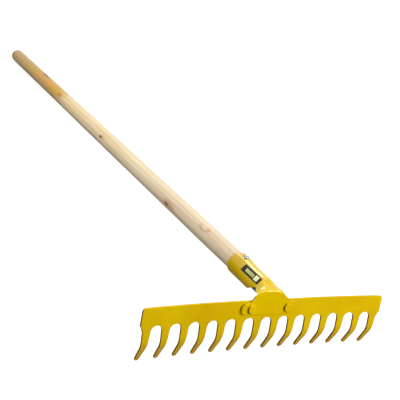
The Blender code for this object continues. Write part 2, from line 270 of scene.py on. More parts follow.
def pick(piece, kind, test):
    """Select the vertices, edges or faces whose middle passes the test, and nothing else."""
    bpy.ops.mesh.select_mode(type={"verts": "VERT", "edges": "EDGE", "faces": "FACE"}[kind])
    bpy.ops.mesh.select_all(action="DESELECT")
    bm = bmesh.from_edit_mesh(piece.data)
    for part in getattr(bm, kind):
        if test(middle_of(part)):
            part.select_set(True)
    bmesh.update_edit_mesh(piece.data)


def join_faces(piece, test):
    """Dissolve the inner edges between faces whose middles all pass the test."""
    bpy.ops.mesh.select_mode(type="EDGE")
    bpy.ops.mesh.select_all(action="DESELECT")
    bm = bmesh.from_edit_mesh(piece.data)
    for edge in bm.edges:
        if len(edge.link_faces) == 2 and all(test(middle_of(face)) for face in edge.link_faces):
            edge.select_set(True)
    bmesh.update_edit_mesh(piece.data)
    bpy.ops.mesh.dissolve_edges(use_verts=False)


def draw_out(shift, factor, centre):
    """Extrude what is selected by a shift, then resize the new end about a centre."""
    bpy.ops.mesh.extrude_region_move(TRANSFORM_OT_translate={"value": tuple(shift)})
    bpy.ops.transform.resize(value=factor, center_override=tuple(centre))


def close_up(piece):
    """Merge doubles and turn every face outwards."""
    if bpy.context.mode != "EDIT_MESH":
        work_on(piece)
        bpy.ops.object.mode_set(mode="EDIT")
    bpy.ops.mesh.select_all(action="SELECT")
    bpy.ops.mesh.remove_doubles(threshold=WELD)
    bpy.ops.mesh.normals_make_consistent(inside=False)
    bpy.ops.object.mode_set(mode="OBJECT")


def modify(piece, kind, **settings):
    """Add one modifier with its settings and apply it."""
    work_on(piece)
    added = piece.modifiers.new(kind.title(), kind)
    for name, value in settings.items():
        setattr(added, name, value)
    bpy.ops.object.modifier_apply(modifier=added.name)


def round_edges(piece, width, angle=40, segments=3, slide=False):
    """Round every sharp edge of a piece."""
    modify(
        piece, "BEVEL", width=width, segments=segments, limit_method="ANGLE",
        angle_limit=math.radians(angle), use_clamp_overlap=False, loop_slide=slide,
    )


def mark_painted_side_shade(piece, zone=None):
    """Note on each face how much painted shade it gets: the more it turns sideways, as cut edges do, the
    more.
    """
    marks = piece.data.attributes.new("painted_side_shade", "FLOAT", "FACE")
    for face in piece.data.polygons:
        inside = zone is None or zone(face.center)
        side_shade = ease((abs(face.normal.x) - SIDE_SHADE_TURN) / SHADE_AND_COAT_FADE)
        marks.data[face.index].value = side_shade if inside else 0.0


def mark_thick_coat(piece):
    """Note at each vertex how thick the enamel is there: thickest where the sheet faces up."""
    marks = piece.data.attributes.new("thick_coat", "FLOAT", "POINT")
    for vertex in piece.data.vertices:
        marks.data[vertex.index].value = ease((vertex.normal.z - THICK_COAT_TURN) / SHADE_AND_COAT_FADE)


def finish(piece, placement, surface, slot, *nodes):
    """Lay a piece in its place, with that place in its mesh, and hand it to the frame."""
    clear_selection()
    piece.matrix_world = placement @ piece.matrix_world
    work_on(piece)
    bpy.ops.object.transform_apply(location=True, rotation=True, scale=True)
    bpy.ops.object.shade_smooth_by_angle(angle=math.radians(50))
    modify(piece, "WEIGHTED_NORMAL", mode="FACE_AREA", weight=50, keep_sharp=True)
    piece.data.materials.clear()
    piece.data.materials.append(surface)
    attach(piece, "root")
    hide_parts(*nodes)
    clear_selection()


def axis_point(station):
    """Point on the handle's axis, measured from the plane of the blade's front face."""
    return AXIS_ORIGIN + ALONG * station


def axis_frame(station, height):
    """Matrix with Z square to the handle's axis, pointing up, above the given station."""
    place = Matrix.Translation(axis_point(station) + ABOVE * height)
    return place @ Matrix.Rotation(HANDLE_PITCH, 4, "X")


# Finishes


def linear(code):
    """sRGB hex colour as the linear values that a shader takes."""
    values = [int(code[i : i + 2], 16) / 255 for i in (1, 3, 5)]
    return [v / 12.92 if v <= 0.04045 else ((v + 0.055) / 1.055) ** 2.4 for v in values] + [1.0]


def node(tree, kind, sockets=None, output=0, stops=(), **settings):
    """Add one node with its settings and return one of its outputs. A socket takes a plain value or
    another node's output, and a colour ramp takes its stops as (position, hex colour)."""
    made = tree.nodes.new("ShaderNode" + kind)
    for name, value in settings.items():
        setattr(made, name, value)
    for socket, value in (sockets or {}).items():
        if isinstance(value, bpy.types.NodeSocket):
            tree.links.new(value, made.inputs[socket])
        else:
            made.inputs[socket].default_value = value
    for index, (position, colour) in enumerate(stops):
        if index > 1:
            made.color_ramp.elements.new(1.0)
        made.color_ramp.elements[index].position = position
        made.color_ramp.elements[index].color = linear(colour)
    return made.outputs[output]


def new_surface(name, **sockets):
    """Material with its Principled shader, and the shader's plain values set on its own sockets."""
    made = bpy.data.materials.new(name)
    made.use_nodes = True
    shader = made.node_tree.nodes["Principled BSDF"]
    for socket, value in sockets.items():
        shader.inputs[socket.replace("_", " ")].default_value = value
    return made, made.node_tree, shader


# A noise's scale is one over the size of its lumps, in metres. A Mix node takes its two colours on
# inputs 6 and 7 and gives the mixed one on output 2.


def yellow_enamel(name, gloss):
    """Stoved enamel sprayed on steel: an even, deep yellow skin with a little orange peel, and painted
    shade: dark brown on faces that turn sideways and browner patches towards the tooth tips."""
    made, tree, shader = new_surface(name, IOR=1.5, Specular_IOR_Level=gloss)
    where = node(tree, "TexCoord", output="Object")
    # The sprayed film is a little thicker in patches of about 60 mm.
    film = node(tree, "TexNoise", {"Vector": where, "Scale": 1 / 0.06, "Detail": 3.0})
    body = node(tree, "ValToRGB", {"Fac": film}, stops=[(0.3, "#C3A000"), (0.7, "#D0AF00")])
    # Painted shade: faces that turn sideways are darkened to brown.
    side_shade = node(tree, "Attribute", output="Fac", attribute_name="painted_side_shade")
    side_shaded = node(tree, "Mix", {0: side_shade, 6: body, 7: linear("#6E4A00")}, 2, data_type="RGBA")
    # Painted shade: the lowest 40 mm, towards the tooth tips, turn browner in patches of about 12 mm.
    height = node(tree, "SeparateXYZ", {"Vector": where}, "Z")
    low = node(tree, "MapRange", {"Value": height, "From Min": 0.045, "From Max": 0.004})
    patches = node(tree, "TexNoise", {"Vector": where, "Scale": 1 / 0.012, "Detail": 4.0})
    patchy = node(tree, "Math", {0: low, 1: patches}, operation="MULTIPLY")
    tip_shaded = node(tree, "Mix", {0: patchy, 6: side_shaded, 7: linear("#AA7408")}, 2, data_type="RGBA")
    tree.links.new(tip_shaded, shader.inputs["Base Color"])
    cloudy = node(tree, "TexNoise", {"Vector": where, "Scale": 1 / 0.02, "Detail": 4.0})
    satin = node(tree, "MapRange", {"Value": cloudy, "To Min": 0.13, "To Max": 0.23})
    tree.links.new(satin, shader.inputs["Roughness"])
    # Orange peel is about 1 mm across; it is drawn at 3 mm so that it shows in the render.
    peel = node(tree, "TexNoise", {"Vector": where, "Scale": 1 / 0.003, "Detail": 1.0})
    raised = node(tree, "Bump", {"Height": peel, "Distance": 0.00003})
    tree.links.new(raised, shader.inputs["Normal"])
    return made


def socket_enamel():
    """The same enamel where it is sprayed from above: thick and glossy on what faces up, the tube's
    top, the neck and the bend, and as dull as the blade on the upright plate and underneath."""
    made = yellow_enamel("stoved_yellow_enamel_gloss", 0.5)
    tree = made.node_tree
    shader = tree.nodes["Principled BSDF"]
    # The pigment reaches the skin of the coat, so what it mirrors is tinted a little too.
    shader.inputs["Specular Tint"].default_value = linear("#FFF6D8")
    thick = node(tree, "Attribute", output="Fac", attribute_name="thick_coat")
    shine = node(tree, "MapRange", {"Value": thick, "To Min": 0.01, "To Max": 0.75})
    tree.links.new(shine, shader.inputs["Specular IOR Level"])
    return made


# Knots, stains and painted shade of the shaft: place across it, along it and above its axis, half width
# and half length, colour and strength
KNOTS = [
    # Painted shade: a dark patch on the shaft's lower end, under the neck inside the socket.
    ((-0.0120, 0.028, -0.0050), (0.0200, 0.024), "#5A3A1C", 0.8),
    ((-0.0128, 0.604, 0.0062), (0.0050, 0.014), "#C98A4A", 0.5),
    ((-0.0133, 0.610, 0.0053), (0.0023, 0.0065), "#3A1C08", 1.0),
    ((-0.0143, 0.300, 0.0000), (0.0070, 0.024), "#BF8550", 0.6),
    ((-0.0143, 0.307, -0.0008), (0.0036, 0.008), "#7A4420", 0.85),
    ((-0.0070, 0.177, 0.0126), (0.0028, 0.006), "#C98C48", 0.45),
    ((-0.0100, 0.882, 0.0104), (0.0100, 0.034), "#D2AC38", 0.75),
    ((-0.0110, 0.862, 0.0092), (0.0034, 0.012), "#9C6C34", 0.6),
    ((-0.0080, 0.938, 0.0119), (0.0070, 0.032), "#E2A04C", 0.7),
    ((-0.0128, 0.925, 0.0062), (0.0048, 0.030), "#CCA23C", 0.6),
    ((-0.0070, 1.010, 0.0126), (0.0060, 0.030), "#E4A04E", 0.65),
    ((0.0026, 0.994, 0.0141), (0.0060, 0.022), "#5E3416", 0.75),
    ((-0.0110, 1.060, 0.0090), (0.0060, 0.070), "#C8AA48", 0.65),
    # Painted shade: two long, narrow dark streaks along the shaft's lower left edge, over its middle and
    # its far part.
    ((-0.0122, 1.040, -0.0074), (0.0074, 0.210), "#5A3420", 0.6),
    ((-0.0122, 0.700, -0.0076), (0.0056, 0.240), "#8A7460", 0.5),
    # A darker patch on the lower left of the shaft's far end.
    ((-0.0126, 1.216, -0.0040), (0.0160, 0.014), "#84481E", 0.65),
]
# A knot of which only the lower rim shows, in the same terms
RIM_KNOT = ((-0.0082, 0.188, 0.0119), (0.0048, 0.012), "#A0703C", 0.45)
# How far noise moves a knot's outline, in half sizes, from the farthest in to the farthest out
KNOT_RAGGEDNESS = 0.9


def turned_wood():
    """Ash, turned and clear-coated: pale, with fine brown fibres along it, long soft bands of the
    growth rings, a few small knots and a satin skin."""
    made, tree, shader = new_surface("turned_ash_clear_coat", IOR=1.5, Specular_IOR_Level=0.06)
    where = node(tree, "TexCoord", output="Object")
    lie = HEAD @ Matrix.Translation(AXIS_ORIGIN) @ Matrix.Rotation(HANDLE_PITCH, 4, "X")
    along = node(
        tree, "Mapping",
        {"Vector": where, "Location": lie.translation, "Rotation": lie.to_euler()},
        vector_type="TEXTURE",
    )
    # Fibres are 0.2 mm wide; they are drawn 2.5 mm wide and 120 mm long so that they show.
    drawn = node(tree, "Mapping", {"Vector": along, "Scale": (400, 8, 400)})
    fibres = node(tree, "TexNoise", {"Vector": drawn, "Scale": 1.0, "Detail": 5.0, "Roughness": 0.6})
    # The growth rings are 4 mm apart, and the tree's middle lay outside the shaft.
    bent = node(
        tree, "Mapping", {"Vector": along, "Location": (0.03, 0, 0.018), "Scale": (1, 0.06, 1)}
    )
    rings = node(
        tree, "TexWave",
        {"Vector": bent, "Scale": 38.0, "Distortion": 3.0, "Detail": 2.0, "Detail Scale": 1.2},
        "Fac", wave_type="RINGS", rings_direction="Y",
    )
    # The wood darkens in the last third of the shaft, with a ragged edge there.
    station = node(tree, "SeparateXYZ", {"Vector": along}, "Y")
    wander = node(tree, "TexNoise", {"Vector": along, "Scale": 1 / 0.16})
    moved = node(tree, "Math", {0: wander, 1: 0.08, 2: station}, operation="MULTIPLY_ADD")
    ground = node(
        tree, "ValToRGB",
        {"Fac": node(tree, "MapRange", {"Value": moved, "From Min": 0.04, "From Max": 1.24})},
        stops=[
            (0.08, "#DCCAAE"), (0.36, "#E8D7B4"), (0.68, "#EED6A8"), (0.73, "#CDA868"),
            (0.80, "#D2A868"), (0.95, "#C8A876"),
        ],
    )
    dark = node(
        tree, "MapRange", {"Value": fibres, "From Min": 0.42, "From Max": 0.72, "To Max": 0.3}
    )
    grown = node(tree, "Mix", {0: dark, 6: ground, 7: linear("#A57A48")}, 2, data_type="RGBA")
    banded = node(
        tree, "MapRange", {"Value": rings, "From Min": 0.45, "From Max": 1.0, "To Max": 0.16}
    )
    grown = node(tree, "Mix", {0: banded, 6: grown, 7: linear("#94683A")}, 2, data_type="RGBA")
    grown = rimmed(tree, along, grown, *RIM_KNOT)
    for knot in KNOTS:
        grown = knotted(tree, along, grown, *knot)
    tree.links.new(grown, shader.inputs["Base Color"])
    satin = node(tree, "MapRange", {"Value": fibres, "To Min": 0.36, "To Max": 0.55})
    tree.links.new(satin, shader.inputs["Roughness"])
    raised = node(tree, "Bump", {"Height": fibres, "Distance": 0.00012})
    tree.links.new(raised, shader.inputs["Normal"])
    return made


def knot_offset(tree, along, place, size):
    """Offset from a knot's middle, in its half sizes, made ragged by noise."""
    wide, long = size
    offset = node(
        tree, "Mapping",
        {"Vector": along, "Location": place, "Scale": (wide, long, wide)}, vector_type="TEXTURE",
    )
    ragged = node(tree, "TexNoise", {"Vector": offset, "Scale": 1.8, "Detail": 4.0}, "Color")
    whole, half = [KNOT_RAGGEDNESS] * 3, [KNOT_RAGGEDNESS / 2] * 3
    warped = node(
        tree, "VectorMath", {0: ragged, 1: whole, 2: offset}, operation="MULTIPLY_ADD"
    )
    return node(tree, "VectorMath", {0: warped, 1: half}, operation="SUBTRACT")


def knotted(tree, along, wood, place, size, colour, strength):
    """Lay one soft-edged oval knot over the wood's colour."""
    offset = knot_offset(tree, along, place, size)
    distance = node(tree, "VectorMath", {0: offset}, "Value", operation="LENGTH")
    share = node(
        tree, "MapRange",
        {"Value": distance, "From Min": 1.25, "From Max": 0.35, "To Max": strength},
    )
    return node(tree, "Mix", {0: share, 6: wood, 7: linear(colour)}, 2, data_type="RGBA")


def rimmed(tree, along, wood, place, size, colour, strength):
    """Lay the lower rim of one knot over the wood's colour."""
    offset = knot_offset(tree, along, place, size)
    distance = node(tree, "VectorMath", {0: offset}, "Value", operation="LENGTH")
    past = node(tree, "Math", {0: distance, 1: 1.0}, operation="SUBTRACT")
    off_rim = node(tree, "Math", {0: past}, operation="ABSOLUTE")
    rim = node(tree, "MapRange", {"Value": off_rim, "From Min": 0.45, "From Max": 0.1})
    height = node(tree, "SeparateXYZ", {"Vector": offset}, "Z")
    lower = node(
        tree, "MapRange", {"Value": height, "From Min": 0.5, "From Max": -0.3, "To Max": strength}
    )
    share = node(tree, "Math", {0: rim, 1: lower}, operation="MULTIPLY")
    return node(tree, "Mix", {0: share, 6: wood, 7: linear(colour)}, 2, data_type="RGBA")


def zinc_steel():
    """Bright zinc plating on a pressed steel screw: grey metal, slightly cloudy, with fine scratches."""
    made, tree, shader = new_surface("zinc_plated_steel", Metallic=1.0, Roughness=0.3)
    where = node(tree, "TexCoord", output="Object")
    # The plating's clouds are about 1.5 mm across, and its grains 0.6 mm.
    cloud = node(tree, "TexNoise", {"Vector": where, "Scale": 1 / 0.0015, "Detail": 3.0})
    grey = node(tree, "ValToRGB", {"Fac": cloud}, stops=[(0.3, "#7C7F85"), (0.7, "#B4B6BA")])
    tree.links.new(grey, shader.inputs["Base Color"])
    gloss = node(tree, "MapRange", {"Value": cloud, "To Min": 0.22, "To Max": 0.42})
    tree.links.new(gloss, shader.inputs["Roughness"])
    grains = node(tree, "TexNoise", {"Vector": where, "Scale": 1 / 0.0006})
    raised = node(tree, "Bump", {"Height": grains, "Distance": 0.00002})
    tree.links.new(raised, shader.inputs["Normal"])
    return made


def printed_film():
    """Printed polyester film, wiped flat: a dark frame round a plain yellow-green panel and one
    plain pale square, with a soft sheen."""
    made, tree, shader = new_surface("printed_polyester_film", IOR=1.5, Specular_IOR_Level=0.25)
    where = node(tree, "TexCoord", output="Object")
    sheet = node(tree, "TexCoord", output="UV")
    # The ink is uneven over about 4 mm, and the film ripples over 2 mm.
    mottle = node(tree, "TexNoise", {"Vector": where, "Scale": 1 / 0.004, "Detail": 3.0})
    ink = node(tree, "ValToRGB", {"Fac": mottle}, stops=[(0.3, "#0E0A06"), (0.7, "#1E160C")])
    down = node(tree, "SeparateXYZ", {"Vector": sheet}, "Y")
    faded = node(tree, "ValToRGB", {"Fac": down}, stops=[(0.2, "#BCBE92"), (0.6, "#9C9A40")])
    panel = node(tree, "Mix", {0: mottle, 6: faded, 7: linear("#B4B47A")}, 2, data_type="RGBA")
    square = node(tree, "ValToRGB", {"Fac": mottle}, stops=[(0.3, "#E2E0A8"), (0.7, "#F0EEC4")])
    in_panel = window(tree, sheet, PANEL_ACROSS, PANEL_ALONG)
    inked = node(tree, "Mix", {0: in_panel, 6: ink, 7: panel}, 2, data_type="RGBA")
    in_square = window(tree, sheet, SQUARE_ACROSS, SQUARE_ALONG)
    both = node(tree, "Mix", {0: in_square, 6: inked, 7: square}, 2, data_type="RGBA")
    tree.links.new(both, shader.inputs["Base Color"])
    sheen = node(tree, "MapRange", {"Value": mottle, "To Min": 0.24, "To Max": 0.38})
    tree.links.new(sheen, shader.inputs["Roughness"])
    ripples = node(tree, "TexNoise", {"Vector": where, "Scale": 1 / 0.002})
    raised = node(tree, "Bump", {"Height": ripples, "Distance": 0.00003})
    tree.links.new(raised, shader.inputs["Normal"])
    return made


def window(tree, sheet, across, along):
    """1 inside a rectangle of the label, 0 outside it."""
    share = 1.0
    for axis, (low, high) in (("X", across), ("Y", along)):
        place = node(tree, "SeparateXYZ", {"Vector": sheet}, axis)
        offset = node(tree, "Math", {0: place, 1: (low + high) / 2}, operation="SUBTRACT")
        distance = node(tree, "Math", {0: offset}, operation="ABSOLUTE")
        near = node(tree, "Math", {0: distance, 1: (high - low) / 2}, operation="LESS_THAN")
        share = node(tree, "Math", {0: near, 1: share}, operation="MULTIPLY")
    return share


# Blade


def tooth_line(depth):
    """(y, z) of the blade's middle surface at a depth measured down the metal."""
    straight = BAR_HEIGHT + TOOTH_STRAIGHT
    angle = min(max(depth - straight, 0) / TOOTH_BEND_RADIUS, TOOTH_BEND_ANGLE)
    y = TOOTH_BEND_RADIUS * (1 - math.cos(angle))
    z = -min(depth, straight) - TOOTH_BEND_RADIUS * math.sin(angle)
    beyond = max(depth - straight - TOOTH_BEND_RADIUS * TOOTH_BEND_ANGLE, 0)
    return BLADE_THICKNESS / 2 + y + beyond * math.sin(angle), z - beyond * math.cos(angle)


def between(value, points):
    """Value read off a line through (place, value) points."""
    for (first, low), (last, high) in zip(points, points[1:]):
        if value <= last:
            return low + (high - low) * (value - first) / (last - first)
    return points[-1][1]


def tooth_rows():
    """Depth, half width inside the blade and half width at the blade's ends, down one strip."""
    half_pitch, root, tip = TOOTH_PITCH / 2, TOOTH_ROOT_WIDTH / 2, TOOTH_TIP_WIDTH / 2
    rows = [(BAR_HEIGHT - ROW_ABOVE_SLOTS, half_pitch, BAR_OVERHANG)]
    angles = steps(0, math.pi / 2, SLOT_TOP_ROWS)
    depths = [BAR_HEIGHT + SLOT_TOP_RADIUS * (1 - math.cos(a)) for a in angles]
    corners = [(depths[row], half_width) for row, half_width in END_STEP.items()]
    for a, depth in zip(angles, depths):
        side = half_pitch - (half_pitch - root) * math.sin(a)
        rows.append((depth, side, between(depth, corners)))
    spring = BAR_HEIGHT + SLOT_TOP_RADIUS
    arc_start = BAR_HEIGHT + TOOTH_STRAIGHT
    arc_end = arc_start + TOOTH_BEND_RADIUS * TOOTH_BEND_ANGLE
    end = arc_end + TOOTH_END
    for depth in [*steps(arc_start, arc_end, TOOTH_BEND_ROWS), end]:
        width = root + (tip - root) * min((depth - spring) / (end - tip - spring), 1)
        rows.append((depth, width, width))
    return rows


def tooth_strip(name, left_end=False, right_end=False):
    """One tooth and the piece of bar above it, as a flat sheet, drawn out row by row."""
    rows = [
        (depth, outer if left_end else side, outer if right_end else side)
        for depth, side, outer in tooth_rows()
    ]
    height, left, right = rows[0]
    bpy.ops.mesh.primitive_plane_add(
        size=1, rotation=(math.pi / 2, 0, 0),
        location=((right - left) / 2, BLADE_THICKNESS / 2, -height / 2),
    )
    bpy.context.object.scale = (left + right, height, 1)
    strip = open_edit(name)
    pick(strip, "edges", lambda p: p.z < -height + NEAR)
    for (depth, left, right), (next_depth, next_left, next_right) in zip(rows, rows[1:]):
        (y, z), (next_y, next_z) = tooth_line(depth), tooth_line(next_depth)
        middle = (next_right - next_left) / 2
        shift = (middle - (right - left) / 2, next_y - y, next_z - z)
        factor = (next_left + next_right) / (left + right)
        draw_out(shift, (factor, 1, 1), (middle, next_y, next_z))
    tip_z = tooth_line(rows[-1][0])[1]
    pick(strip, "verts", lambda p: p.z < tip_z + NEAR)
    bpy.ops.mesh.bevel(offset=TOOTH_TIP_WIDTH * TOOTH_TIP_ROUNDING, segments=6, affect="VERTICES")
    if left_end or right_end:
        pick(strip, "verts", lambda p: p.z > -NEAR and abs(p.x) < BAR_OVERHANG + NEAR)
        bpy.ops.mesh.bevel(offset=BAR_CORNER_RADIUS, segments=6, affect="VERTICES")
        # Only the rows that the step has corners on keep their points on the bar's end.
        arc = rows[1 : SLOT_TOP_ROWS + 1]
        spare = [depth for row, (depth, _, _) in enumerate(arc) if row not in END_STEP]
        side = -1 if left_end else 1
        pick(
            strip, "verts",
            lambda p: p.x * side > 0 and any(abs(p.z + depth) < NEAR for depth in spare),
        )
        bpy.ops.mesh.dissolve_verts()
    # The rows of the flat part are dissolved into one face, so that its edge rounds cleanly.
    flat_end = -BAR_HEIGHT - TOOTH_STRAIGHT + NEAR
    join_faces(strip, lambda p: flat_end < p.z < -height - NEAR)
    bpy.ops.object.mode_set(mode="OBJECT")
    return strip


def sweep_ends(blade):
    """Bend the blade's ends gently away from the handle, with a lattice round the whole blade."""
    width, depth, height = 2 * (LAST_TOOTH + BAR_OVERHANG), 0.1, 0.2
    clear_selection()
    bpy.ops.object.add(type="LATTICE", location=(0, 0, -height / 5))
    cage = bpy.context.object
    cage.scale = (width, depth, height)
    cage.data.points_u = SWEEP_COLUMNS
    cage.data.interpolation_type_u = "KEY_LINEAR"
    for point in cage.data.points:
        reach = max(abs(point.co.x) * width - FOOT_WIDTH / 2, 0) / (LAST_TOOTH - FOOT_WIDTH / 2)
        point.co_deform.y -= BLADE_SWEEP * reach**2 / depth
    bpy.context.view_layer.update()
    modify(blade, "LATTICE", object=cage)
    bpy.data.objects.remove(cage)


def make_blade(surface):
    """Bar and teeth from one sheet; the strip with one tooth is modelled once and copied."""
    pattern = tooth_strip("tooth_pattern")
    ends = [tooth_strip("tooth_left", left_end=True), tooth_strip("tooth_right", right_end=True)]
    ends[0].location.x, ends[1].location.x = -LAST_TOOTH, LAST_TOOTH
    strips = list(ends)
    for index in range(1, TOOTH_COUNT - 1):
        copy = pattern.copy()
        copy.data = pattern.data.copy()
        copy.location.x = index * TOOTH_PITCH - LAST_TOOTH
        bpy.context.scene.collection.objects.link(copy)
        strips.append(copy)
    bpy.data.objects.remove(pattern)
    clear_selection()
    for strip in strips:
        strip.select_set(True)
    blade = ends[0]
    bpy.context.view_layer.objects.active = blade
    bpy.ops.object.join()
    blade.name = "blade_enamelled"
    bpy.ops.object.transform_apply(location=True, rotation=True, scale=True)
    close_up(blade)
    sweep_ends(blade)
    modify(blade, "SOLIDIFY", thickness=BLADE_THICKNESS, offset=0, use_even_offset=True)
    close_up(blade)
    round_edges(blade, BLADE_EDGE)
    mark_painted_side_shade(blade)
    finish(blade, HEAD, surface, "yellow_enamel", "blade")


# Socket


def taper(station):
    """How much thinner the handle is at a station inside the tube."""
    return HANDLE_TAPER * min(max((TAPER_START - station) / (TAPER_START - TAPER_END), 0), 1)


def arc_half_angle(station):
    """Half angle that the rolled sheet covers, from the top round to its edge."""
    seam = math.pi - SEAM_GAP / 2 / TUBE_RADIUS
    share = max(TUBE_END - station, 0) / (TUBE_END - UNDERCUT_END)
    edge = min(share * (1 + math.cos(UNDERCUT_ANGLE)) - 1, 1)
    return max(min(seam, math.acos(edge)), NECK_LEAST_ANGLE)


def undercut_station(angle):
    """Station at which the slanting edge below the tube has come round to this half angle."""
    share = (1 + math.cos(angle)) / (1 + math.cos(UNDERCUT_ANGLE))
    return TUBE_END - (TUBE_END - UNDERCUT_END) * share


def soft_pit(distance):
    """Depth share of a smooth round-bottomed pit at a distance from its middle, in pit radii."""
    return (1 + math.cos(math.pi * min(abs(distance), 1))) / 2


def pressed_in(x, station):
    """Depth of what is pressed into the neck: a valley down its middle and a dimple beside it."""
    reach = 1 - station / (NECK_START + HANDLE_CHAMFER)
    if reach <= 0:
        return 0.0
    middle = VALLEY_MIDDLE - VALLEY_DRIFT * (1 - reach)
    half_width = VALLEY_TOP_HALF_WIDTH + VALLEY_WIDENING * reach
    length_share = math.sin(math.pi * min(reach, 1)) ** VALLEY_FULLNESS
    valley = length_share * soft_pit((x - middle) / half_width)
    offset = math.hypot(x - DIMPLE_PLACE[0], station - DIMPLE_PLACE[1])
    return VALLEY_DEPTH * valley + DIMPLE_DEPTH * soft_pit(offset / DIMPLE_RADIUS)


def neck_section(u, station):
    """(x, height above the axis) on the sheet's outer side at u from -1 to 1 across it."""
    angle = u * arc_half_angle(station)
    pressed = taper(station) * ease((SQUEEZE_END - abs(angle)) / SQUEEZE_FADE)
    round_x = (TUBE_RADIUS - pressed) * math.sin(angle)
    round_v = (TUBE_RADIUS - pressed) * math.cos(angle)
    flat_x = u * FLARE_NECK_WIDTH / 2
    flat_v = NECK_EDGE + (NECK_CROWN - NECK_EDGE) * (1 - u * u)
    share = ease((NECK_START - station) / (NECK_START - BEND_RADIUS / 2))
    x = round_x + (flat_x - round_x) * share
    v = round_v + (flat_v - round_v) * share
    x -= FLARE_LEAN * share
    return x, v - pressed_in(x, station)


def neck_point(u, station, lift=0.0):
    """Point on the tube or the neck, lifted off its outer side if asked."""
    x, v = neck_section(u, station)
    if lift:
        step = 1e-4
        x_next, v_next = neck_section(u + step, station)
        out = Vector((v - v_next, x_next - x)).normalized() * lift
        x, v = x + out.x, v + out.y
    return axis_point(station) + ABOVE * v + Vector((x, 0, 0))


def flare_half_width(z):
    """Half width of the flared plate, which widens ever faster from the bend down to the foot."""
    widening = (FLARE_FOOT_WIDTH - FLARE_NECK_WIDTH) / 2
    top = HANDLE_AXIS_HEIGHT + NECK_EDGE
    share = max(top - z, 0) / (top + FOOT_TOP_DROP)
    return FLARE_NECK_WIDTH / 2 + widening * share**FLARE_CURVE


def sheet_rows():
    """Rows of points on the sheet's outer side, from the tube's mouth to the foot's lower edge."""
    crowding = 1 - COLUMN_EVENNESS
    columns = [t * (COLUMN_EVENNESS + crowding * t * t) for t in steps(-1, 1, SHEET_COLUMNS + 1)]
    stations = steps(TUBE_MOUTH, TUBE_END, TUBE_ROWS)
    seam = arc_half_angle(TUBE_END)
    stations += [undercut_station(a) for a in steps(seam, UNDERCUT_ANGLE, UNDERCUT_ROWS)[1:]]
    stations += steps(NECK_START + NECK_ROWS_LEAD, BEND_RADIUS + FOOT_FRONT, NECK_ROWS)
    rows = [[neck_point(u, station) for u in columns] for station in stations]
    rows += bend_rows(columns, rows[-1])
    rows += flare_rows(columns, rows[-1])
    ear = FOOT_HEIGHT / 2
    for a in steps(EAR_ROW_ANGLE, -EAR_ROW_ANGLE, EAR_ROWS):
        half = FOOT_WIDTH / 2 - ear + ear * math.cos(a)
        z = FOOT_MIDDLE + ear * math.sin(a)
        rows.append([Vector((u * half, FOOT_FRONT, z)) for u in columns])
    return rows


def bend_rows(columns, last):
    """Rows round the bend, from the neck's last row down into the plane of the foot."""
    rows = []
    for turn in steps(HANDLE_PITCH, math.pi / 2, BEND_ROWS)[1:]:
        drop = BEND_RADIUS * (math.cos(HANDLE_PITCH) - math.cos(turn))
        y = FOOT_FRONT + BEND_RADIUS * (1 - math.sin(turn))
        half = flare_half_width(last[0].z - drop)
        rows.append([Vector((u * half - FLARE_LEAN, y, p.z - drop)) for u, p in zip(columns, last)])
    return rows


def flare_rows(columns, under_bend):
    """Rows down the flare, from the bend's last row to the shoulder above the ears."""
    rows = []
    foot_top = -FOOT_TOP_DROP + SHOULDER_HEIGHT
    for share in steps(0, 1, FLARE_ROWS)[1:]:
        half = flare_half_width(under_bend[0].z + (foot_top - under_bend[0].z) * share)
        lean = FLARE_LEAN * (1 - share)
        row = []
        for u, p in zip(columns, under_bend):
            row.append(Vector((u * half - lean, FOOT_FRONT, p.z + (foot_top - p.z) * share)))
        rows.append(row)
    return rows


def press_dent(socket):
    """Press the hollow into the top of the tube that grips the wood; only the outer side sinks."""
    for vertex in socket.data.vertices:
        offset = vertex.co - AXIS_ORIGIN
        station = offset.dot(ALONG)
        above = offset.dot(ABOVE)
        radius = math.hypot(offset.x, above)
        if above < 0 or radius < TUBE_RADIUS - SHEET / 2:
            continue
        across = TUBE_RADIUS * math.atan2(offset.x, above) / DENT_HALF_WIDTH
        reach = math.hypot(across, (station - TUBE_MOUTH) / DENT_LENGTH)
        depth = DENT_DEPTH * ease((1 - reach) / DENT_RIM)
        out = (ABOVE * above + Vector((offset.x, 0, 0))) / radius
        vertex.co -= out * depth


def make_socket(surface):
    """One sheet blank, rolled into the tube and pressed into the neck, the bend and the foot."""
    rows = sheet_rows()
    bpy.ops.mesh.primitive_grid_add(
        x_subdivisions=SHEET_COLUMNS, y_subdivisions=len(rows) - 1, size=2
    )
    socket = bpy.context.object
    socket.name = "socket_pressed"
    for vertex in socket.data.vertices:
        column = round((vertex.co.x + 1) / 2 * SHEET_COLUMNS)
        row = round((vertex.co.y + 1) / 2 * (len(rows) - 1))
        vertex.co = rows[row][column]
    work_on(socket)
    bpy.ops.object.mode_set(mode="EDIT")
    bpy.ops.mesh.select_all(action="SELECT")
    bpy.ops.mesh.flip_normals()
    # The flat foot is dissolved into one face, so that its edge rounds cleanly.
    join_faces(socket, lambda p: abs(p.y - FOOT_FRONT) < NEAR)
    bpy.ops.object.mode_set(mode="OBJECT")
    modify(socket, "SOLIDIFY", thickness=SHEET, offset=-1, use_even_offset=True)
    press_dent(socket)
    close_up(socket)
    round_edges(socket, SHEET_EDGE, angle=55, segments=2, slide=True)
    mark_painted_side_shade(socket, lambda centre: centre.z < SIDE_SHADE_TOP and centre.y < 0)
    mark_thick_coat(socket)
    finish(socket, HEAD, surface, "yellow_enamel", "socket")


# Handle


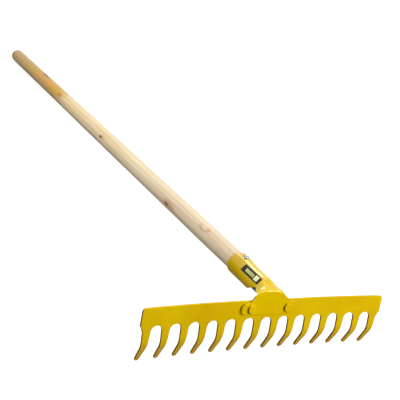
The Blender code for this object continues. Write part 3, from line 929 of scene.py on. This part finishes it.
def make_handle(surface):
    """Turned shaft, drawn out of its lower end face station by station, its far end rounded over."""
    small = HANDLE_RADIUS - HANDLE_TAPER
    end = HANDLE_START + HANDLE_LENGTH
    profile = [
        (HANDLE_START, small - HANDLE_CHAMFER), (HANDLE_START + HANDLE_CHAMFER, small),
        (TAPER_END, small), (TAPER_START, HANDLE_RADIUS), (TUBE_MOUTH, HANDLE_RADIUS),
    ]
    swell = [
        (TUBE_MOUTH, 0), (SWELL_START, HANDLE_SWELL), (SWELL_END, HANDLE_SWELL),
        (end, -HANDLE_THINNING),
    ]
    for station in steps(TUBE_MOUTH, end, SHAFT_ROWS)[1:]:
        profile.append((station, HANDLE_RADIUS + between(station, swell)))
    bpy.ops.mesh.primitive_circle_add(
        vertices=HANDLE_SIDES, radius=profile[0][1], fill_type="NGON", location=(0, 0, HANDLE_START)
    )
    handle = open_edit("handle_turned", "FACE")
    bpy.ops.mesh.select_all(action="SELECT")
    for (station, radius), (next_station, next_radius) in zip(profile, profile[1:]):
        factor = next_radius / radius
        draw_out((0, 0, next_station - station), (factor, factor, 1), (0, 0, next_station))
    pick(handle, "edges", lambda p: p.z > end - NEAR)
    bpy.ops.mesh.bevel(offset=HANDLE_END_RADIUS, segments=8, profile=0.5)
    close_up(handle)
    lie = Matrix.Translation(AXIS_ORIGIN) @ Matrix.Rotation(HANDLE_PITCH - math.pi / 2, 4, "X")
    finish(handle, HEAD @ lie, surface, "wood", "handle")


# Fasteners and label


def headed_pin(name, head_radius, head_height, rim_radius, shank_radius, length):
    """Disc with a rounded upper rim, its lower face inset and drawn down into a shank."""
    bpy.ops.mesh.primitive_cylinder_add(
        vertices=48, radius=head_radius, depth=head_height, location=(0, 0, head_height / 2)
    )
    pin = open_edit(name, "FACE")
    pick(pin, "edges", lambda p: p.z > head_height - NEAR)
    bpy.ops.mesh.bevel(offset=rim_radius, segments=7, profile=0.5)
    pick(pin, "faces", lambda p: abs(p.z) < NEAR)
    bpy.ops.mesh.inset(thickness=head_radius - shank_radius)
    draw_out((0, 0, -length), (1, 1, 1), (0, 0, -length))
    return pin


def make_rivets(surface):
    """Rivet with a domed head on each side, modelled once and copied to the other hole."""
    grip = SHEET + BLADE_THICKNESS + 3 * GAP
    left = headed_pin(
        "rivet_left_head", RIVET_HEAD_RADIUS, RIVET_HEAD_HEIGHT, RIVET_HEAD_RIM, RIVET_SHANK_RADIUS,
        grip / 2,
    )
    pick(left, "faces", lambda p: p.z < -grip / 2 + NEAR)
    bpy.ops.mesh.delete(type="FACE")
    close_up(left)
    left.location.z = grip / 2
    work_on(left)
    bpy.ops.object.transform_apply(location=True, rotation=True, scale=True)
    modify(left, "MIRROR", use_axis=(False, False, True), merge_threshold=WELD)
    close_up(left)
    mark_painted_side_shade(left)
    right = left.copy()
    right.data = left.data.copy()
    right.name = "rivet_right_head"
    bpy.context.scene.collection.objects.link(right)
    middle = FOOT_FRONT - GAP + grip / 2
    for rivet, side, name in ((left, -1, "rivet_left"), (right, 1, "rivet_right")):
        place = Matrix.Translation((side * RIVET_SPACING / 2, middle, FOOT_MIDDLE))
        lie = place @ Matrix.Rotation(math.pi / 2, 4, "X")
        finish(rivet, HEAD @ lie, surface, "yellow_enamel", name)


def make_screw(surface):
    """Domed screw with one slot and a pointed end."""
    screw = headed_pin(
        "fixing_screw_zinc", SCREW_HEAD_RADIUS, SCREW_HEAD_HEIGHT, SCREW_HEAD_RIM,
        SCREW_SHANK_RADIUS, SCREW_LENGTH - SCREW_POINT_LENGTH,
    )
    factor = (SCREW_POINT_SHARE, SCREW_POINT_SHARE, 1)
    draw_out((0, 0, -SCREW_POINT_LENGTH), factor, (0, 0, -SCREW_LENGTH))
    close_up(screw)
    bpy.ops.mesh.primitive_cube_add(size=1, location=(0, 0, SCREW_HEAD_HEIGHT))
    blade = open_edit("screwdriver_blade")
    bpy.ops.mesh.select_all(action="SELECT")
    bpy.ops.transform.resize(
        value=(3 * SCREW_HEAD_RADIUS, SCREW_SLOT_WIDTH, 2 * SCREW_SLOT_DEPTH),
        center_override=(0, 0, SCREW_HEAD_HEIGHT),
    )
    clear_selection()
    modify(screw, "BOOLEAN", object=blade, operation="DIFFERENCE", solver="EXACT")
    bpy.data.objects.remove(blade)
    close_up(screw)
    round_edges(screw, SCREW_EDGE, segments=2)
    lie = axis_frame(SCREW_STATION, TUBE_RADIUS - taper(SCREW_STATION) + GAP)
    finish(screw, HEAD @ lie, surface, "zinc_steel", "fixing_screw")


def make_label(surface):
    """Thin sticker laid round the left side of the tube, its UV map running across and down it."""
    across, along = 14, 26
    bpy.ops.mesh.primitive_grid_add(x_subdivisions=across, y_subdivisions=along, size=2)
    label = bpy.context.object
    label.name = "label_film_bare"
    for vertex in label.data.vertices:
        share_x, share_y = (vertex.co.x + 1) / 2, (vertex.co.y + 1) / 2
        angle = LABEL_HIGH_ANGLE + (LABEL_LOW_ANGLE - LABEL_HIGH_ANGLE) * share_x
        station = LABEL_END + (LABEL_START - LABEL_END) * share_y
        vertex.co = neck_point(-angle / arc_half_angle(station), station, GAP)
    work_on(label)
    bpy.ops.object.mode_set(mode="EDIT")
    bpy.ops.mesh.select_all(action="SELECT")
    bpy.ops.mesh.flip_normals()
    bpy.ops.object.mode_set(mode="OBJECT")
    modify(label, "SOLIDIFY", thickness=LABEL_THICKNESS, offset=1, use_even_offset=True)
    close_up(label)
    finish(label, HEAD, surface, "label_film", "label")


# Floor, light and camera


def make_floor():
    """Plain pale floor; the camera and reflections see it near white, and it keeps the shadow."""
    bpy.ops.mesh.primitive_plane_add(size=FLOOR_SIZE)
    floor = bpy.context.object
    floor.name = "floor"
    made, tree, shader = new_surface("matt_painted_floor", Roughness=0.9)
    where = node(tree, "TexCoord", output="Object")
    clouds = node(tree, "TexNoise", {"Vector": where, "Scale": 1 / 0.5})
    tone = node(tree, "ValToRGB", {"Fac": clouds}, stops=[(0.0, "#868686"), (1.0, "#8A8A8A")])
    tree.links.new(tone, shader.inputs["Base Color"])
    shader.inputs["Emission Color"].default_value = linear("#FFFFFF")
    # The lamps' light falls off away from the rake, so the glow rises there to keep the floor white.
    away = node(tree, "VectorMath", {0: where}, "Value", operation="LENGTH")
    glow = node(
        tree, "MapRange",
        {"Value": away, "From Min": 0.9, "From Max": 2.6, "To Min": FLOOR_GLOW, "To Max": 1.0},
    )
    tree.links.new(seen_share(tree, glow), shader.inputs["Emission Strength"])
    floor.data.materials.append(made)
    clear_selection()


def seen_share(tree, share):
    """A value for rays from the camera, from a reflection or through glass, and 0 for the rest."""
    total = node(tree, "LightPath", output="Is Camera Ray")
    for name in ("Is Glossy Ray", "Is Transmission Ray"):
        seen = node(tree, "LightPath", output=name)
        total = node(tree, "Math", {0: total, 1: seen}, operation="MAXIMUM")
    return node(tree, "Math", {0: total, 1: share}, operation="MULTIPLY")


def make_world():
    """White surroundings to look at, dimmer as light."""
    world = bpy.data.worlds.new("studio")
    bpy.context.scene.world = world
    world.use_nodes = True
    tree = world.node_tree
    background = tree.nodes["Background"]
    background.inputs["Color"].default_value = linear("#FFFFFF")
    extra = seen_share(tree, 1 - WORLD_LIGHT)
    strength = node(tree, "Math", {0: extra, 1: WORLD_LIGHT}, operation="ADD")
    tree.links.new(strength, background.inputs["Strength"])


def add_lamp(name, place, target, size, power):
    """Square softbox that points at a target."""
    bpy.ops.object.light_add(type="AREA", location=place)
    lamp = bpy.context.object
    lamp.name = name
    lamp.data.size = size
    lamp.data.energy = power
    lamp.rotation_euler = (Vector(target) - Vector(place)).to_track_quat("-Z", "Y").to_euler()
    clear_selection()


def make_camera():
    """Camera at the photograph's place, held in the head frame."""
    data = bpy.data.cameras.new("camera")
    data.sensor_width = CAMERA_SENSOR
    data.lens = CAMERA_LENS
    data.clip_start = 0.05
    camera = bpy.data.objects.new("camera", data)
    bpy.context.scene.collection.objects.link(camera)
    right = CAMERA_RIGHT.normalized()
    up = (CAMERA_UP - right * CAMERA_UP.dot(right)).normalized()
    turn = Matrix((right, up, right.cross(up))).transposed().to_4x4()
    camera.matrix_world = HEAD @ Matrix.Translation(CAMERA_PLACE) @ turn
    bpy.context.scene.camera = camera


clear_selection()
enamel = yellow_enamel("stoved_yellow_enamel", 0.025)
make_blade(enamel)
make_socket(socket_enamel())
make_rivets(enamel)
make_handle(turned_wood())
make_screw(zinc_steel())
make_label(printed_film())
make_floor()
make_world()
add_lamp("softbox_above_left", place=(-1.1, -0.1, 1.9), target=(0, -0.2, 0.05), size=1.4, power=42.5)
add_lamp("softbox_right", place=(0.95, -1.4, 0.75), target=(0.1, -0.6, 0), size=0.6, power=19)
add_lamp("softbox_front", place=(-0.2, -2.0, 0.7), target=(0, -0.5, 0.05), size=0.9, power=8)
add_lamp("softbox_behind", place=(0.7, 1.1, 1.5), target=(0, -0.5, 0.09), size=0.65, power=9)
add_lamp("small_box_overhead", place=(0.35, -1.04, 1.96), target=(0, -0.6, 0.09), size=0.36, power=3.6)
make_camera()
bpy.context.scene.view_settings.view_transform = "Standard"
